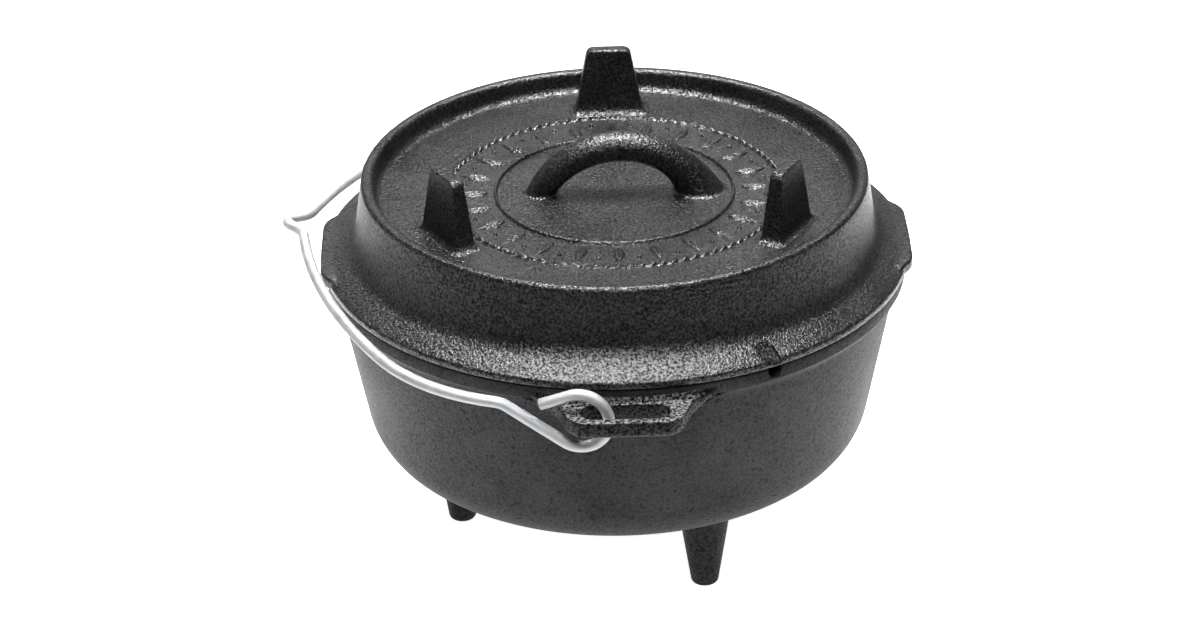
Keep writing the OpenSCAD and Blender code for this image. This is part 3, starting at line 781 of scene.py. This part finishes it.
# Bail
# One length of zinc-plated steel wire, bent on a jig: a kink in the middle to hang from, two long
# shoulders, and a hook at each end sprung into an ear's slot.
def bent_path(steps, place, turn):
    """Points along a wire that leaves a place along its frame's +X, bent step by step.

    A step is (length,) for a straight run, or (radius, turn, roll) in degrees for a bend towards +Y after
    the frame is rolled about +X. A bend's point at the angle a is r (sin a, 1 - cos a, 0) in that frame.
    """
    run_points = 12
    bend_points = 10
    points = [place[None]]
    for step in steps:
        if len(step) == 1:
            local = np.linspace(0, step[0], run_points)[1:, None] * (1, 0, 0)
        else:
            r, angle, roll = step[0], math.radians(step[1]), math.radians(step[2])
            turn = turn @ np.array(Matrix.Rotation(roll, 3, "X"))
            a = np.linspace(0, angle, max(bend_points, int(r * angle)))[1:]
            local = r * np.stack([np.sin(a), 1 - np.cos(a), np.zeros_like(a)], 1)
        points.append(points[-1][-1] + local @ turn.T)
        if len(step) == 3:
            turn = turn @ np.array(Matrix.Rotation(angle, 3, "Z"))
    return np.concatenate(points)


def sin_of(angle):
    """Sine of an angle in degrees."""
    return math.sin(math.radians(angle))


def cos_of(angle):
    """Cosine of an angle in degrees."""
    return math.cos(math.radians(angle))


wire_d = 4.2
hook_r = 10.5
hook_in = 0.7
hook_shift = 1.0
hook_turn = 28
hook_bend_r = 10.0
hook_end_turn = 26
hook_end_l = 11.4
bail_gap = 0.5
side_low = 0.8
tab_straight = 15.0
crown_gap = 4.6
lead_l = 0.6
shoulder_turn = 50
crown_pitch = 12.7
kink_half_w = 10.5
kink_slope = 58
kink_tip_r = 4.2
kink_bend_r = 9.3

swing = next(joint for joint in frame["joints"] if joint["name"] == "bail_swing")
hinge_z = swing["pos_m"][2] / MM
hinge_yaw = math.degrees(math.atan2(swing["axis"][0], swing["axis"][1]))
hinge_x = slot_half_l + hook_in
hinge_half = math.hypot(hinge_x, slot_mid[1] - hook_shift)
# The bail crosses the rear ear and passes close beside the left tab, which gives its slope
cross_y = (hinge_x + slot_half_l) / cos_of(hinge_yaw)
tab_corner_y = tab_edge * cos_of(hinge_yaw) - tab_straight * sin_of(hinge_yaw)
rest_rise = lid_z + tab_t - side_low - ear_top_z - bail_gap
bail_tilt = math.degrees(math.atan2(rest_rise, tab_corner_y - cross_y))
cross_rise = ear_top_z + wire_d / 2 + bail_gap - hinge_z
bail_rise = cross_rise * cos_of(bail_tilt) - cross_y * sin_of(bail_tilt)
hook_drop = bail_rise + hook_r * cos_of(hook_turn) - hook_bend_r * (1 - cos_of(hook_turn))
hook_run = hook_drop / sin_of(hook_turn)
lead_y = (hook_r + hook_bend_r) * sin_of(hook_turn) + hook_run * cos_of(hook_turn) + lead_l
crown_out = tab_edge / cos_of(hinge_yaw) - kink_half_w * sin_of(hinge_yaw) / cos_of(hinge_yaw)
crown_y = (crown_out + wire_d / 2 + crown_gap) / cos_of(bail_tilt)
kink_leg = (kink_half_w - kink_tip_r * sin_of(kink_slope)
            - kink_bend_r * (sin_of(kink_slope) - sin_of(crown_pitch))) / cos_of(kink_slope)
kink_rise = (kink_tip_r * (1 - cos_of(kink_slope)) + kink_leg * sin_of(kink_slope)
             + kink_bend_r * (cos_of(crown_pitch) - cos_of(kink_slope)))
# The shoulder's and the crown's radii close the bail between its lead and its kink
closing = [[1 - cos_of(shoulder_turn), cos_of(shoulder_turn) - sin_of(crown_pitch)],
           [sin_of(shoulder_turn), cos_of(crown_pitch) - sin_of(shoulder_turn)]]
shoulder_r, crown_r = np.linalg.solve(closing, [hinge_half - kink_half_w, crown_y - lead_y])
# Each half goes from the kink's tip over its shoulder to the hook's end
halves = []
for side in (1, -1):
    steps = [(kink_tip_r, kink_slope, 180), (kink_leg,), (kink_bend_r, kink_slope - crown_pitch, 180),
             (crown_r, 90 - shoulder_turn - crown_pitch, 180), (shoulder_r, shoulder_turn, 0), (lead_l,),
             (hook_bend_r, hook_turn, side * 90), (hook_run,), (hook_r, hook_turn + 180 + hook_end_turn, 180),
             (hook_end_l,)]
    tip = np.array([0, crown_y + kink_rise, bail_rise])
    halves.append(bent_path(steps, tip, np.array(Matrix.Rotation(math.radians(90 - side * 90), 3, "Y"))))
bends = np.concatenate([halves[1][::-1], halves[0][1:]])
bends_at = np.concatenate([[0], np.cumsum(np.linalg.norm(np.diff(bends, axis=0), axis=1))])
# The wire is laid out again in even steps, with its sheared ends rounded over
wire_end_r = 0.5
wire_l = bends_at[-1]
end_at = wire_end_r * (1 - np.cos(quarter))
between_at = np.linspace(wire_end_r, wire_l - wire_end_r, int(wire_l))[1:-1]
wire_at = np.concatenate([end_at, between_at, wire_l - end_at[::-1]])
wire_path = np.stack([np.interp(wire_at, bends_at, axis) for axis in bends.T], 1)
wire_r = wire_d / 2 - fillet(np.minimum(wire_at, wire_l - wire_at), wire_end_r)
wire_ahead = np.gradient(wire_path, wire_at, axis=0)
wire_ahead /= np.linalg.norm(wire_ahead, axis=1, keepdims=True)
# No stretch of the wire runs along off_wire, so each ring's first side is square to both
off_wire = (1, 0, 1)
wire_step = 15
wire_side = np.cross(wire_ahead, off_wire)
wire_side /= np.linalg.norm(wire_side, axis=1, keepdims=True)
wire_up = np.cross(wire_ahead, wire_side)
wire_turn = np.radians(np.arange(0, 360, wire_step))[:, None, None]
wire_grid = wire_path + wire_r[:, None] * (np.cos(wire_turn) * wire_side + np.sin(wire_turn) * wire_up)
# The bail is worked out level, with its hinge line along X, then tilted about it and turned into place
lay = Matrix.Rotation(math.radians(90 - hinge_yaw), 3, "Z") @ Matrix.Rotation(math.radians(bail_tilt), 3, "X")
wire_grid = wire_grid @ np.array(lay).T + (0, 0, hinge_z)

# Zinc over drawn steel is pale and satin, with faint lines along the wire and a cloudy bloom. The lines
# are finer on a real wire, and are drawn 0.25 mm wide so that they show.
draw_line_mm = 0.25
draw_line_l_mm = 40
draw_line_high_mm = 0.03
bloom_mm = 6.0
bloom_span = (0.3, 0.7)
zinc_rough = (0.6, 0.72)
zinc_tones = ("#a6a8aa", "#bebfc1")
zinc, zinc_tree, zinc_out = new_material("zinc_plated_drawn_wire")
zinc_at = add(zinc_tree, "TexCoord").outputs["UV"]
draw_scale = (1 / (draw_line_l_mm * MM), 1 / (draw_line_mm * MM), 1)
zinc_lines_at = add(zinc_tree, "Mapping", {"Vector": zinc_at, "Scale": draw_scale})
draw_lines = add(zinc_tree, "TexNoise", {"Vector": zinc_lines_at.outputs["Vector"],
                                         "Scale": 1.0, "Detail": 2.0})
bloom = add(zinc_tree, "TexNoise", {"Vector": zinc_at, "Scale": 1 / (bloom_mm * MM), "Detail": 3.0})
zinc_gloss = add(zinc_tree, "MapRange", {"Value": bloom.outputs["Fac"],
                                         "From Min": bloom_span[0], "From Max": bloom_span[1],
                                         "To Min": zinc_rough[0], "To Max": zinc_rough[1]})
zinc_tone = add(zinc_tree, "ValToRGB", {"Fac": bloom.outputs["Fac"]})
for stop, share, code in zip(zinc_tone.color_ramp.elements, bloom_span, zinc_tones):
    stop.position = share
    stop.color = linear(code)
zinc_lines = add(zinc_tree, "Bump", {"Height": draw_lines.outputs["Fac"], "Strength": 0.3,
                                     "Distance": draw_line_high_mm * MM})
zinc_shader = add(zinc_tree, "BsdfPrincipled", {"Base Color": zinc_tone.outputs["Color"], "Metallic": 1.0,
                                                "Roughness": zinc_gloss.outputs["Result"],
                                                "Normal": zinc_lines.outputs["Normal"]})
zinc_tree.links.new(zinc_shader.outputs["BSDF"], zinc_out.inputs["Surface"])
wire = skin("bail_wire", wire_grid, zinc, lengths=wire_at, girth=math.pi * wire_d)
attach(wire, "bail")
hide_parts("bail")
